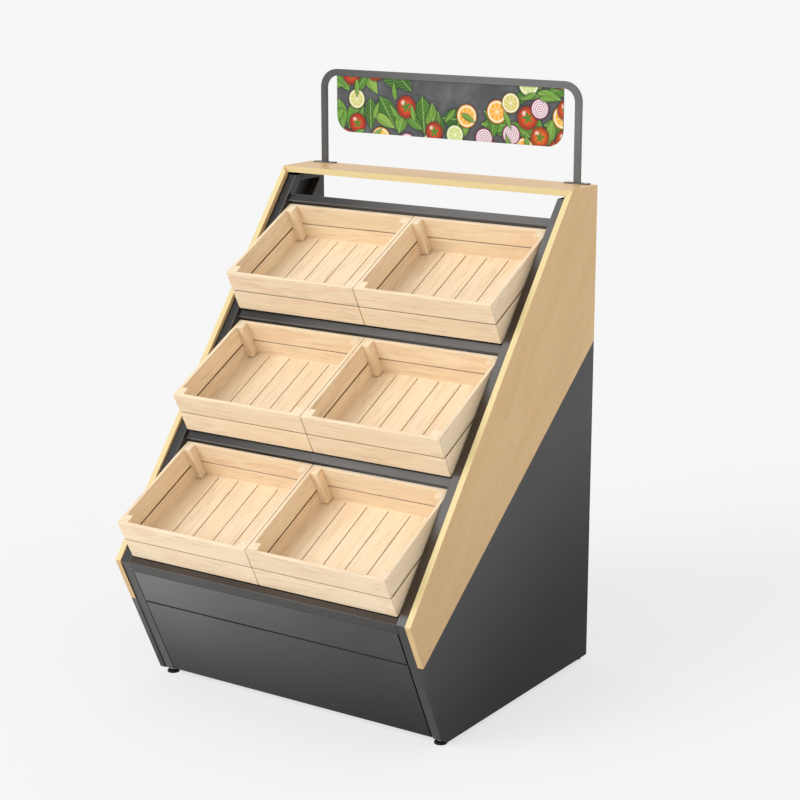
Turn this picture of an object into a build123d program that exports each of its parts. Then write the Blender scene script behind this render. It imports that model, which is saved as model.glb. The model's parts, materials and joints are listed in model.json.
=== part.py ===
from build123d import *
from math import cos, sin, radians, tan, hypot, atan2, degrees
import os

# Tiered basket stand, in millimetres. X runs left to right, Y front to back, Z up.
# The origin is on the floor, below the middle of the stand.

# Overall outline of the stand, as its side boards show it
width = 1000.0
rear_y = 499.5
knuckle_y = -460.5
knuckle_z = 395.0
top_z = 1426.0
top_front_y = 354.5
base_front_y = -280.5
base_z = 15.0
header_top_z = 1712.0

# Boards: wood above a seam that climbs to the back, dark board below it
board = 18.0
seam_rear_z = 976.0
seam_fraction = 0.347
seam_gap = 0.6

# Steel frame
tube = 30.0
wall = 2.0
rear_tube = 25.0
top_rail_height = 16.0
post_inset = 3.0
post_top_inset = 15.0
post_top_gap = 8.0
brace_inset = 110.0

# Tiers: crates on decks that tilt forward, with a bar below the front of each
tier_names = ("bottom", "middle", "top")
tier_pitch = 403.5
first_tier = 21.0
tilt = 27.5
bar_height = 25.0
bar_depth = 25.0
bar_recess = 10.0
bar_drop = 23.0
lip_rise = 18.0
lip_drop = 31.0
lip_depth = 30.0

# Decks, the angle brackets under them and the rails at their back
deck_sheet = 2.0
deck_play = 0.3
deck_front = 9.0
deck_rear_gap = 20.0
deck_rear_flange = 14.0
deck_side_gap = 1.0
angle_leg = 25.0
angle_sheet = 3.0
angle_front = 20.0
angle_rear_gap = 100.0
shelf_rail_gap = 2.0
rib_height = 6.0
rib_top = 6.0
rib_angle = 60.0
rib_end_gap = 18.0

# Crates
crate_gap = 3.0
crate_side_gap = 3.0
crate_depth = 355.0
crate_height = 130.0
crate_board = 10.0
front_slot = 3.5
side_slot = 4.0
corner_width = 22.0
corner_depth = 26.0
post_floor_gap = 3.0
floor_board = 9.0
floor_slot_count = 5
floor_slot = 3.0
floor_slot_end = 5.0
batten = 8.0
batten_width = 30.0
batten_play = 0.4

# Front panels
panel = 15.0
panel_side_gap = 1.5
panel_gap = 6.0
panel_seam = 1.5
panel_floor_gap = 3.0
panel_split_z = 262.0

# Header with its sign, which fills a share of the opening above the top board
header_half = 450.0
header_bar = 20.0
header_depth = 10.0
header_wall = 1.5
header_bend = 58.0
header_rear_gap = 6.0
plate_length = 76.0
plate_width = 22.0
plate_sheet = 3.0
sign_half = 392.0
sign_share = 0.628
sign_sheet = 4.0
sign_corner = 50.0
screw_spacing = 28.0
screw_shank = 2.0
screw_head = 4.0
screw_head_height = 2.4
screw_length = 15.0
screw_play = 0.1

# Levelling feet
pad_radius = 18.0
pad_edge = 5.0
pad_hub_radius = 10.0
pad_height = 9.0
pad_socket = 3.0
stud_radius = 5.0
stud_top = 33.0
hex_flats = 17.0
hex_bottom = 9.5
hex_top = 14.5
foot_play = 0.3
plug = 12.0

# Places worked out from the sizes above
half = width / 2
board_inner = half - board
frame_inner = board_inner - tube
post_x = board_inner - tube / 2
top_underside = top_z - board
upright_front = rear_y - rear_tube
header_y = rear_y - header_rear_gap - header_depth / 2
plate_top = top_z + plate_sheet
frame_span = (-frame_inner, frame_inner)
panel_span = (panel_side_gap - frame_inner, frame_inner - panel_side_gap)
crate_width = frame_inner - crate_side_gap - crate_gap / 2
sides = (("left", -1), ("right", 1))


def along(point, direction, distance):
    """Point at a distance from another in the side view, where points are Y and Z."""
    return (point[0] + direction[0] * distance, point[1] + direction[1] * distance)


def unit(start, end):
    """Direction from one point of the side view to another."""
    length = hypot(end[0] - start[0], end[1] - start[1])
    return ((end[0] - start[0]) / length, (end[1] - start[1]) / length)


def meet(first, second):
    """Point where two lines of the side view cross; a line is a point and a direction."""
    (first_y, first_z), (way_y, way_z) = first
    (second_y, second_z), (other_y, other_z) = second
    across = way_y * other_z - way_z * other_y
    step = ((second_y - first_y) * other_z - (second_z - first_z) * other_y) / across
    return (first_y + way_y * step, first_z + way_z * step)


def level(height):
    return ((0, height), (1, 0))


def upright(place):
    return ((place, 0), (0, 1))


# Corners of the outline in the side view
base_front = (base_front_y, base_z)
knuckle = (knuckle_y, knuckle_z)
top_front = (top_front_y, top_z)
seam_rear = (rear_y, seam_rear_z)
leg_way = unit(knuckle, base_front)
leg_in = (-leg_way[1], leg_way[0])
undercut = hypot(base_front_y - knuckle_y, base_z - knuckle_z)
seam_front = along(knuckle, leg_way, seam_fraction * undercut)

# The posts lie a little behind the boards' front edges, more at the top than at the knuckle
edge_way = unit(knuckle, top_front)
edge_in = (edge_way[1], -edge_way[0])
post_top = along(top_front, edge_in, post_top_inset)
post_foot = meet((along(knuckle, edge_in, post_inset), edge_way), (along(knuckle, leg_in, post_inset), leg_way))
slope_way = unit(post_foot, post_top)
slope_in = (slope_way[1], -slope_way[0])
slope_angle = degrees(atan2(slope_way[1], slope_way[0]))
leg_length = (post_foot[1] - base_z) / -leg_way[1]
panel_split = (post_foot[1] - panel_split_z) / -leg_way[1]

# Each deck climbs to the back at the tilt
deck_way = (cos(radians(tilt)), sin(radians(tilt)))
deck_up = (-deck_way[1], deck_way[0])
deck_top = -deck_play
deck_under = deck_top - deck_sheet
deck_rear = crate_depth - deck_rear_gap
angle_rear = crate_depth - angle_rear_gap
rib_lean = 1 / tan(radians(rib_angle))
shelf_rail_back = angle_rear + shelf_rail_gap
rib_front = shelf_rail_back + rear_tube + shelf_rail_gap
rib_back = rib_front + rib_top + rib_height * rib_lean
floor_top = batten + floor_board


def slope_point(distance, depth):
    """Point on the frame's slope: a distance up the posts and a depth into the stand."""
    return along(along(post_foot, slope_way, distance), slope_in, depth)


def leg_point(distance, depth):
    """Point on the frame's undercut: a distance down the legs and a depth into the stand."""
    return along(along(post_foot, leg_way, distance), leg_in, depth)


def slope_line(depth):
    return (slope_point(0, depth), slope_way)


def leg_line(depth):
    return (leg_point(0, depth), leg_way)


def tier_point(tier, back, rise):
    """Point in a tier's frame: back along the deck and up from it, from the crates' front bottom edge."""
    start = slope_point(first_tier + tier * tier_pitch, 0)
    return along(along(start, deck_way, back), deck_up, rise)


def prism(points, span):
    """Solid with the given outline in the side view, between two places across the stand."""
    outline = Plane.YZ.offset(span[0]) * make_face(Polyline(*points, close=True))
    return extrude(outline, amount=span[1] - span[0], dir=(1, 0, 0))


def tier_prism(tier, points, span):
    return prism([tier_point(tier, back, rise) for back, rise in points], span)


def tier_box(tier, back, rise, span):
    corners = ((back[0], rise[0]), (back[1], rise[0]), (back[1], rise[1]), (back[0], rise[1]))
    return tier_prism(tier, corners, span)


def cross_section(points, front, back):
    """Solid with the given outline in the front view, between two places front to back."""
    outline = Plane.XZ.offset(-back) * make_face(Polyline(*points, close=True))
    return extrude(outline, amount=back - front, dir=(0, -1, 0))


def on_side(solid, side):
    return solid if side > 0 else mirror(solid, about=Plane.YZ)


def group(solids):
    return Compound(children=list(solids))


def side_tube(line_at, depth, first_cut, last_cut):
    """Hollow tube of the right side frame, along a line of the side view, cut at both ends."""
    def outline(near, far):
        return [meet(line_at(near), first_cut), meet(line_at(near), last_cut),
                meet(line_at(far), last_cut), meet(line_at(far), first_cut)]

    outer = prism(outline(0, depth), (frame_inner, board_inner))
    inner = prism(outline(wall, depth - wall), (frame_inner + wall, board_inner - wall))
    return outer - inner


def cross_tube(point_at, first, last, near, far):
    """Hollow tube across the stand, with a rectangular section in a frame of the side view."""
    def outline(inset):
        low, high, front, back = first + inset, last - inset, near + inset, far - inset
        return [point_at(low, front), point_at(high, front), point_at(high, back), point_at(low, back)]

    return prism(outline(0), frame_span) - prism(outline(wall), frame_span)


# Side boards and the top board, which meet in mitres
def wood_side():
    seam = (along(seam_front, (0, 1), seam_gap / 2), unit(seam_front, seam_rear))
    outline = [meet(seam, (knuckle, leg_way)), knuckle, top_front, (rear_y, top_z), meet(seam, upright(rear_y))]
    mitre = ((board_inner, top_underside), (half, top_z), (board_inner, top_z))
    return prism(outline, (board_inner, half)) - cross_section(mitre, knuckle_y, rear_y)


def dark_side():
    seam = (along(seam_front, (0, -1), seam_gap / 2), unit(seam_front, seam_rear))
    outline = [meet(seam, (knuckle, leg_way)), meet(seam, upright(rear_y)), (rear_y, base_z), base_front]
    return prism(outline, (board_inner, half))


def plate_centres():
    return [side * (header_half - header_bar / 2) for _, side in sides]


def screw_places():
    return [centre + step for centre in plate_centres() for step in (-screw_spacing, screw_spacing)]


def drilled(solid, radius):
    """A solid with the header's screw holes, as deep as the screws reach into the top board."""
    for place in screw_places():
        hole = Cylinder(radius, screw_length + plate_sheet, align=(Align.CENTER, Align.CENTER, Align.MAX))
        solid -= Pos(place, header_y, plate_top) * hole
    return solid


def top_board():
    section = ((-half, top_z), (half, top_z), (board_inner, top_underside), (-board_inner, top_underside))
    return drilled(cross_section(section, top_front_y, rear_y), screw_shank + screw_play)


# Tubes of one side frame
def knuckle_mitre():
    return (post_foot, unit(post_foot, meet(slope_line(tube), leg_line(tube))))


def slope_post():
    return side_tube(slope_line, tube, knuckle_mitre(), level(top_underside - post_top_gap))


def front_leg():
    return side_tube(leg_line, tube, knuckle_mitre(), level(base_z))


def rear_upright():
    return side_tube(lambda depth: upright(rear_y - depth), rear_tube, level(base_z), level(top_underside))


def slope_brace():
    return side_tube(lambda depth: slope_line(brace_inset + depth), tube, leg_line(tube), upright(upright_front))


def top_side_rail():
    return side_tube(lambda depth: level(top_underside - depth), rear_tube, slope_line(tube),
                     upright(upright_front))


def base_side_rail():
    return side_tube(lambda depth: level(base_z + depth), tube, leg_line(tube), upright(upright_front))


# Rails across the stand
def tier_bar(tier):
    """Bar below the front of a tier's crates; the one above the last tier is the display rail."""
    low = first_tier + tier * tier_pitch - bar_drop
    return cross_tube(slope_point, low, low + bar_height, bar_recess, bar_recess + bar_depth)


def knuckle_bar():
    """Bar below the bottom crates, with one face on the slope and one on the undercut."""
    def outline(inset):
        near, far = inset, lip_depth - inset
        return [meet(slope_line(near), leg_line(near)), slope_point(lip_rise - inset, near),
                slope_point(lip_rise - inset, far), meet(slope_line(far), leg_line(far)),
                leg_point(lip_drop - inset, far), leg_point(lip_drop - inset, near)]

    return prism(outline(0), frame_span) - prism(outline(wall), frame_span)


def rear_rail(low, height):
    return cross_tube(lambda place, rise: (place, rise), upright_front, rear_y, low, low + height)


def front_rail(centre):
    """Tube behind the front panels, square to the legs."""
    return cross_tube(leg_point, centre - tube / 2, centre + tube / 2, panel, panel + tube)


def shelf_rear_rail(tier):
    def deck_point(back, drop):
        return tier_point(tier, back, deck_under - drop)

    return cross_tube(deck_point, shelf_rail_back, shelf_rail_back + rear_tube, 0, rear_tube)


# Front panels
def fascia_panel():
    first, last = lip_drop + panel_seam, panel_split - panel_gap / 2
    outline = [leg_point(first, 0), leg_point(last, 0), leg_point(last, panel), leg_point(first, panel)]
    return prism(outline, panel_span)


def kick_panel():
    first = panel_split + panel_gap / 2
    floor_cut = level(base_z + panel_floor_gap)
    outline = [leg_point(first, 0), meet(leg_line(0), floor_cut), meet(leg_line(panel), floor_cut),
               leg_point(first, panel)]
    return prism(outline, panel_span)


# Shelves
def crate_start(side):
    """Left end of the crate on one side of the stand."""
    return crate_gap / 2 if side > 0 else -crate_gap / 2 - crate_width


def crate_inside(side):
    return (crate_start(side) + crate_board, crate_start(side) + crate_width - crate_board)


def shelf_deck(tier):
    """Folded sheet that stands on the tier's bar, with a rib that keeps each crate from sliding forward."""
    lean = radians(slope_angle - tilt)
    bar_top = bar_height - bar_drop if tier else lip_rise - first_tier
    flange_end = (bar_top - deck_front * cos(lean)) / sin(lean) + deck_play
    inner_front, inner_rear = deck_front + deck_sheet, deck_rear - deck_sheet
    fold = ((deck_front, deck_top), (deck_rear, deck_top), (deck_rear, -deck_rear_flange),
            (inner_rear, -deck_rear_flange), (inner_rear, deck_under), (inner_front, deck_under),
            (inner_front, flange_end), (deck_front, flange_end))
    edge = frame_inner - deck_side_gap
    solid = tier_prism(tier, fold, (-edge, edge))
    rib = ((rib_front, deck_under), (rib_front, rib_height), (rib_front + rib_top, rib_height),
           (rib_back, 0), (rib_back, deck_under))
    for _, side in sides:
        start, end = crate_inside(side)
        solid += tier_prism(tier, rib, (start + rib_end_gap, end - rib_end_gap))
    return solid


def shelf_angle(tier):
    """Right angle bracket between a slope post and its brace, with the deck on its upper leg."""
    reach = (angle_front, angle_rear)
    upper = tier_box(tier, reach, (deck_under - angle_sheet, deck_under), (frame_inner - angle_leg, frame_inner))
    lower = tier_box(tier, reach, (deck_under - angle_leg, deck_under), (frame_inner - angle_sheet, frame_inner))
    return upper + lower


# Crates: walls of two boards with a slot between, a slotted floor board on battens, and corner posts inside
def two_boards(slot):
    board_height = (crate_height - slot) / 2
    return ((0, board_height), (board_height + slot, crate_height))


def crate_walls(tier, side):
    start, end = crate_start(side), crate_start(side) + crate_width
    boards = []
    for back in (0, crate_depth - crate_board):
        for rise in two_boards(front_slot):
            boards.append(tier_box(tier, (back, back + crate_board), rise, (start, end)))
    for place in (start, end - crate_board):
        for rise in two_boards(side_slot):
            reach = (crate_board, crate_depth - crate_board)
            boards.append(tier_box(tier, reach, rise, (place, place + crate_board)))
    return group(boards)


def crate_floor(tier, side):
    start, end = crate_inside(side)
    front, rear = crate_board, crate_depth - crate_board
    bottom = tier_box(tier, (front, rear), (batten, floor_top), (start, end))
    slot_pitch = (end - start + floor_slot) / (floor_slot_count + 1)
    for number in range(1, floor_slot_count + 1):
        place = start + number * slot_pitch - floor_slot
        reach = (front + floor_slot_end, rear - floor_slot_end)
        bottom -= tier_box(tier, reach, (batten, floor_top), (place, place + floor_slot))
    pieces = [bottom]
    for back in (crate_board, (crate_depth - batten_width) / 2):
        pieces.append(tier_box(tier, (back, back + batten_width), (0, batten), (start, end)))
    stop = rib_back + batten_play
    stop_batten = ((stop, 0), (stop + batten_width, 0), (stop + batten_width, batten),
                   (stop - batten * rib_lean, batten))
    pieces.append(tier_prism(tier, stop_batten, (start, end)))
    return group(pieces)


def crate_corners(tier, side):
    start, end = crate_inside(side)
    rise = (floor_top + post_floor_gap, crate_height)
    posts = []
    for back in (crate_board, crate_depth - crate_board - corner_depth):
        for place in (start, end - corner_width):
            posts.append(tier_box(tier, (back, back + corner_depth), rise, (place, place + corner_width)))
    return group(posts)


# Header
def arch(inset):
    """Outline of the header's bent bar, drawn in from its edges by the inset."""
    def bow(half_width, top, bend):
        rise = top - plate_top
        block = Pos(0, plate_top + rise / 2) * Rectangle(2 * half_width, rise)
        return fillet(block.vertices().group_by(Axis.Y)[-1], bend)

    outside = bow(header_half - inset, header_top_z - inset, header_bend - inset)
    bar = header_bar - inset
    return outside - bow(header_half - bar, header_top_z - bar, header_bend - bar)


def header_frame():
    front = Plane.XZ.offset(-header_y)
    outer = extrude(front * arch(0), amount=header_depth / 2, both=True)
    return outer - extrude(front * arch(header_wall), amount=header_depth / 2 - header_wall, both=True)


def header_plates():
    plates = []
    for centre in plate_centres():
        block = Box(plate_length, plate_width, plate_sheet, align=(Align.CENTER, Align.CENTER, Align.MAX))
        plates.append(drilled(Pos(centre, header_y, plate_top) * block, screw_shank + screw_play))
    return group(plates)


def header_screws():
    head = Cylinder(screw_head, screw_head_height, align=(Align.CENTER, Align.CENTER, Align.MIN))
    shank = Cylinder(screw_shank, screw_length, align=(Align.CENTER, Align.CENTER, Align.MAX))
    return group(Pos(place, header_y, plate_top) * (head + shank) for place in screw_places())


def sign_panel():
    top = header_top_z - header_bar
    rise = sign_share * (top - top_z)
    face = Pos(0, top - rise / 2) * Rectangle(2 * sign_half, rise)
    face = fillet(face.vertices().group_by(Axis.Y)[0], sign_corner)
    return extrude(Plane.XZ.offset(-header_y) * face, amount=sign_sheet / 2, both=True)


# Levelling feet, one below each front leg and each rear upright
leg_foot_y = meet(leg_line(tube / 2), level(base_z))[0]
upright_foot_y = rear_y - rear_tube / 2
foot_places = {f"{end}_{name}": (side * post_x, place)
               for end, place in (("front", leg_foot_y), ("rear", upright_foot_y)) for name, side in sides}


def foot_pad(place):
    profile = Polyline((0, 0), (pad_radius, 0), (pad_radius, pad_edge), (pad_hub_radius, pad_height),
                       (stud_radius + foot_play, pad_height), (stud_radius + foot_play, pad_socket),
                       (0, pad_socket), close=True)
    return Pos(*place, 0) * revolve(Plane.XZ * make_face(profile), Axis.Z)


def foot_stud(place):
    low = pad_socket + foot_play
    rod = Pos(0, 0, low) * Cylinder(stud_radius, stud_top - low, align=(Align.CENTER, Align.CENTER, Align.MIN))
    nut = extrude(RegularPolygon(hex_flats / 2, 6, major_radius=False), amount=hex_top - hex_bottom)
    return Pos(*place, 0) * (rod + Pos(0, 0, hex_bottom) * nut)


def foot_plugs():
    """Threaded plugs in the open lower ends of the legs and uprights."""
    low, high = level(base_z), level(base_z + plug)
    near, far = leg_line(wall), leg_line(tube - wall)
    in_leg = [meet(near, low), meet(near, high), meet(far, high), meet(far, low)]
    front, back = upright_front + wall, rear_y - wall
    in_upright = [(front, base_z), (front, base_z + plug), (back, base_z + plug), (back, base_z)]
    hole = Cylinder(stud_radius + foot_play, plug, align=(Align.CENTER, Align.CENTER, Align.MIN))
    plugs = []
    for outline, foot_y in ((in_leg, leg_foot_y), (in_upright, upright_foot_y)):
        solid = prism(outline, (frame_inner + wall, board_inner - wall)) - Pos(post_x, foot_y, base_z) * hole
        plugs.extend(on_side(solid, side) for _, side in sides)
    return group(plugs)


parts = {
    "top_board": top_board(),
    "display_rail": tier_bar(len(tier_names)),
    "tier_bars": group(tier_bar(tier) for tier in range(1, len(tier_names))),
    "knuckle_bar": knuckle_bar(),
    "rear_top_rail": rear_rail(top_underside - top_rail_height, top_rail_height),
    "rear_base_rail": rear_rail(base_z, tube),
    "front_base_rail": front_rail(leg_length - tube),
    "panel_rail": front_rail(panel_split),
    "fascia_panel": fascia_panel(),
    "kick_panel": kick_panel(),
    "shelf_angles": group(on_side(shelf_angle(tier), side) for tier in range(len(tier_names)) for _, side in sides),
    "shelf_rear_rails": group(shelf_rear_rail(tier) for tier in range(len(tier_names))),
    "header_frame": header_frame(),
    "header_plates": header_plates(),
    "header_screws": header_screws(),
    "sign_panel": sign_panel(),
    "foot_plugs": foot_plugs(),
}

for name, side in sides:
    parts[f"wood_side_{name}"] = on_side(wood_side(), side)
    parts[f"dark_side_{name}"] = on_side(dark_side(), side)
    parts[f"slope_post_{name}"] = on_side(slope_post(), side)
    parts[f"front_leg_{name}"] = on_side(front_leg(), side)
    parts[f"rear_upright_{name}"] = on_side(rear_upright(), side)
    parts[f"slope_brace_{name}"] = on_side(slope_brace(), side)

parts["top_side_rails"] = group(on_side(top_side_rail(), side) for _, side in sides)
parts["base_side_rails"] = group(on_side(base_side_rail(), side) for _, side in sides)

for tier, tier_name in enumerate(tier_names):
    parts[f"shelf_deck_{tier_name}"] = shelf_deck(tier)
    for name, side in sides:
        crate = f"crate_{tier_name}_{name}"
        parts[f"{crate}_walls"] = crate_walls(tier, side)
        parts[f"{crate}_floor"] = crate_floor(tier, side)
        parts[f"{crate}_corners"] = crate_corners(tier, side)

for foot, place in foot_places.items():
    parts[f"foot_pad_{foot}"] = foot_pad(place)
    parts[f"foot_stud_{foot}"] = foot_stud(place)

os.makedirs("parts", exist_ok=True)
for name, solid in parts.items():
    export_step(solid, f"parts/{name}.step")
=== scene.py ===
import json
import math
import random

import bmesh
import bpy
from mathutils import Matrix, Vector


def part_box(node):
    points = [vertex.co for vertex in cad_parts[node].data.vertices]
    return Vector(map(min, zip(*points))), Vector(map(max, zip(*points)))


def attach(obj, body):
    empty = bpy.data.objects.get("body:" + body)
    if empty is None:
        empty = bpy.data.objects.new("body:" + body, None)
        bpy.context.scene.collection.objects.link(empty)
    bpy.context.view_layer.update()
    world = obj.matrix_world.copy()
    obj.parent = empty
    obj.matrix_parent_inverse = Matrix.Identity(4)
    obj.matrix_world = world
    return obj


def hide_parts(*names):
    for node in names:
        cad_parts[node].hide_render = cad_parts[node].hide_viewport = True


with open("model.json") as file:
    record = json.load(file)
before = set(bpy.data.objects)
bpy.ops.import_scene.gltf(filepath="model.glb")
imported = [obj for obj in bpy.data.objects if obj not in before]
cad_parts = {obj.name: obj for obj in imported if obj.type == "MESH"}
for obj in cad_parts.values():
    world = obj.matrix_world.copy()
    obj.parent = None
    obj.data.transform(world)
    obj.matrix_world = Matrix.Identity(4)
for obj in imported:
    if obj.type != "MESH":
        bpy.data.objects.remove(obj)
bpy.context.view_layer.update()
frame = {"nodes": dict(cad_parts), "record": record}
nodes = frame["nodes"]
record = frame["record"]
body_of_node = {node: body for body, members in record["behaviour"]["bodies"].items() for node in members}
slot_of_node = {entry["node"]: entry["material_slot"] for entry in record["subparts"]}

# Sizes of the stand that the finishes follow, in metres
tiers = ("bottom", "middle", "top")
crate_tilt = math.radians(27.5)
front_edge_foot = Vector((0, -0.4605, 0.395))
front_edge_top = Vector((0, 0.3545, 1.426))
slope_way = (front_edge_top - front_edge_foot).normalized()
slope_back = Vector((0, slope_way.z, -slope_way.y))
lining_inset = 0.014
joint_shadow_width = 0.003
slot_margin = 0.004
wide_board = 0.25

# Rounding of the edges, in metres and square metres, and which edges and faces it takes
edge_round_board = 0.0008
edge_round_pine = 0.0012
edge_round_tube = 0.0022
edge_round_sheet = 0.0004
tube_end_edge = 0.06
small_face = 4e-4
weld_reach = 1e-6
flat_within = math.radians(0.5)
round_from = math.radians(25)
crease_from = math.radians(46)

# Screws, brads and studs, in metres; the brads' spread is a share of the board's width
screw_radius = 0.004
screw_height = 0.0024
brad_radius = 0.0011
brad_height = 0.0003
brad_inset = 0.022
brad_spread = 0.24
stud_radius = 0.005
stud_pitch = 0.0015
stud_flats = 0.017
stud_hex_foot = 0.0095
stud_hex_height = 0.005
grown_crease = math.radians(38)

# How squarely a face has to look one way to count as facing it
square_on = 0.9
half_on = 0.5
barely_on = 0.1

# How strongly a mark counts on the faces that carry it in part
top_board_band = 0.8
undercut_shaded_band = 0.15
knuckle_front_shading = 0.6
header_slope_shading = 0.22
floor_slot_shade = 0.42

# Where the painted light and shade of the dark parts run across the stand, in metres, and the colour casts
# of the painted shade and shadow near the crates
front_shading_reach = (-0.55, 0.42)
slope_shading_reach = (-0.42, 0.12)
rubbed_cast = (1.45, 1.1, 0.85)
crate_shadow_cast = (0.66, 0.52, 0.38)

# Rise above a crate's foot, along the post beside it, and how strongly the painted shadow of the crate
# counts there
crate_shadow_steps = ((0.0, 0.0), (0.012, 1.0), (0.215, 1.0), (0.275, 0.0))


# Small helpers to write nodes
class Wiring:
    """A node tree that is filled one node after another."""

    def __init__(self, tree):
        self.tree = tree

    def add(self, kind, settings=None, **inputs):
        """Adds a node with its settings and its inputs by their labels, an underscore for each space."""
        node = self.tree.nodes.new(kind)
        for key, value in (settings or {}).items():
            setattr(node, key, value)
        for key, value in inputs.items():
            self.set(node.inputs[key.replace("_", " ")], value)
        return node

    def set(self, socket, value):
        """Links an input to an output, or gives it a value."""
        if isinstance(value, bpy.types.NodeSocket):
            self.tree.links.new(value, socket)
        elif isinstance(value, tuple) and len(value) == 3 and socket.type == "RGBA":
            socket.default_value = (*value, 1)
        else:
            socket.default_value = value

    def fill(self, node, *values):
        """Sets a node's first inputs in their order."""
        for place, value in enumerate(values):
            self.set(node.inputs[place], value)
        return node

    def calc(self, operation, *values):
        return self.fill(self.add("ShaderNodeMath", {"operation": operation}), *values).outputs[0]

    def times(self, first, second):
        return self.calc("MULTIPLY", first, second)

    def minus(self, first, second):
        return self.calc("SUBTRACT", first, second)

    def greatest(self, first, second):
        return self.calc("MAXIMUM", first, second)

    def vec(self, operation, *values):
        node = self.fill(self.add("ShaderNodeVectorMath", {"operation": operation}), *values)
        return node.outputs["Value" if operation == "LENGTH" else "Vector"]

    def split(self, vector):
        return self.add("ShaderNodeSeparateXYZ", Vector=vector).outputs

    def triple(self, x=0.0, y=0.0, z=0.0):
        return self.add("ShaderNodeCombineXYZ", X=x, Y=y, Z=z).outputs[0]

    def seen_directly(self):
        """1 where a thing is looked at, straight or by mirror or glass, and 0 for the light it sends on."""
        path = self.add("ShaderNodeLightPath").outputs
        looked_at = self.greatest(path["Is Camera Ray"], path["Is Glossy Ray"])
        return self.greatest(looked_at, path["Is Transmission Ray"])

    def end_in_mix(self, end, share, first, second):
        """Ends the tree in a mix of two of its shaders."""
        mix = self.fill(self.add("ShaderNodeMixShader"), share, first, second)
        self.set(end.inputs["Surface"], mix.outputs[0])


class Finish(Wiring):
    """A material that ends in one Principled shader."""

    def __init__(self, name, **sockets):
        self.material = bpy.data.materials.new(name)
        self.material.use_nodes = True
        super().__init__(self.material.node_tree)
        self.shader = self.tree.nodes["Principled BSDF"]
        self.place = self.add("ShaderNodeTexCoord").outputs["Object"]
        for socket, value in sockets.items():
            self.feed(socket.replace("_", " "), value)

    def feed(self, socket, value):
        self.set(self.shader.inputs[socket], value)

    def mark(self, name):
        return self.add("ShaderNodeAttribute", {"attribute_name": name}).outputs["Fac"]

    def stretched(self, vector, scale, shift=(0, 0, 0)):
        return self.add("ShaderNodeMapping", Vector=vector, Scale=scale, Location=shift).outputs[0]

    def noise(self, vector, scale=1.0, detail=3.0, rough=0.55, warp=0.0):
        return self.add("ShaderNodeTexNoise", Vector=vector, Scale=scale, Detail=detail, Roughness=rough,
                        Distortion=warp).outputs[0]

    def ramp(self, value, *stops):
        """A colour or a grey for each value, from stops that give a place and what it holds."""
        node = self.add("ShaderNodeValToRGB", Fac=value)
        while len(node.color_ramp.elements) < len(stops):
            node.color_ramp.elements.new(1.0)
        for element, (place, colour) in zip(node.color_ramp.elements, stops):
            element.position = place
            element.color = (*colour, 1) if isinstance(colour, tuple) else (colour, colour, colour, 1)
        return node.outputs[0]

    def blend(self, share, first, second, mode="MIX"):
        node = self.add("ShaderNodeMix", {"data_type": "RGBA", "blend_type": mode})
        for place, value in ((0, share), (6, first), (7, second)):
            self.set(node.inputs[place], value)
        return node.outputs[2]

    def span(self, value, low, high, to_low=0.0, to_high=1.0):
        """Carries the stretch from low to high smoothly over to another one."""
        node = self.add("ShaderNodeMapRange", {"interpolation_type": "SMOOTHSTEP"})
        return self.fill(node, value, low, high, to_low, to_high).outputs[0]

    def toned(self, colour, tone):
        return self.blend(1.0, colour, tone, "MULTIPLY")

    def fade(self, mark, colour, reach, tones):
        """Gives the marked faces a painted light and shade that runs across the stand, from its left to its
        right.
        """
        across, _, _ = self.split(self.place)
        return self.blend(self.mark(mark), colour, self.span(across, *reach, *tones), "MULTIPLY")

    def relief(self, height, strength, depth):
        node = self.add("ShaderNodeBump", Height=height, Strength=strength, Distance=depth)
        self.feed("Normal", node.outputs[0])


def tinted(colour, share):
    return tuple(share * part for part in colour)


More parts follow.
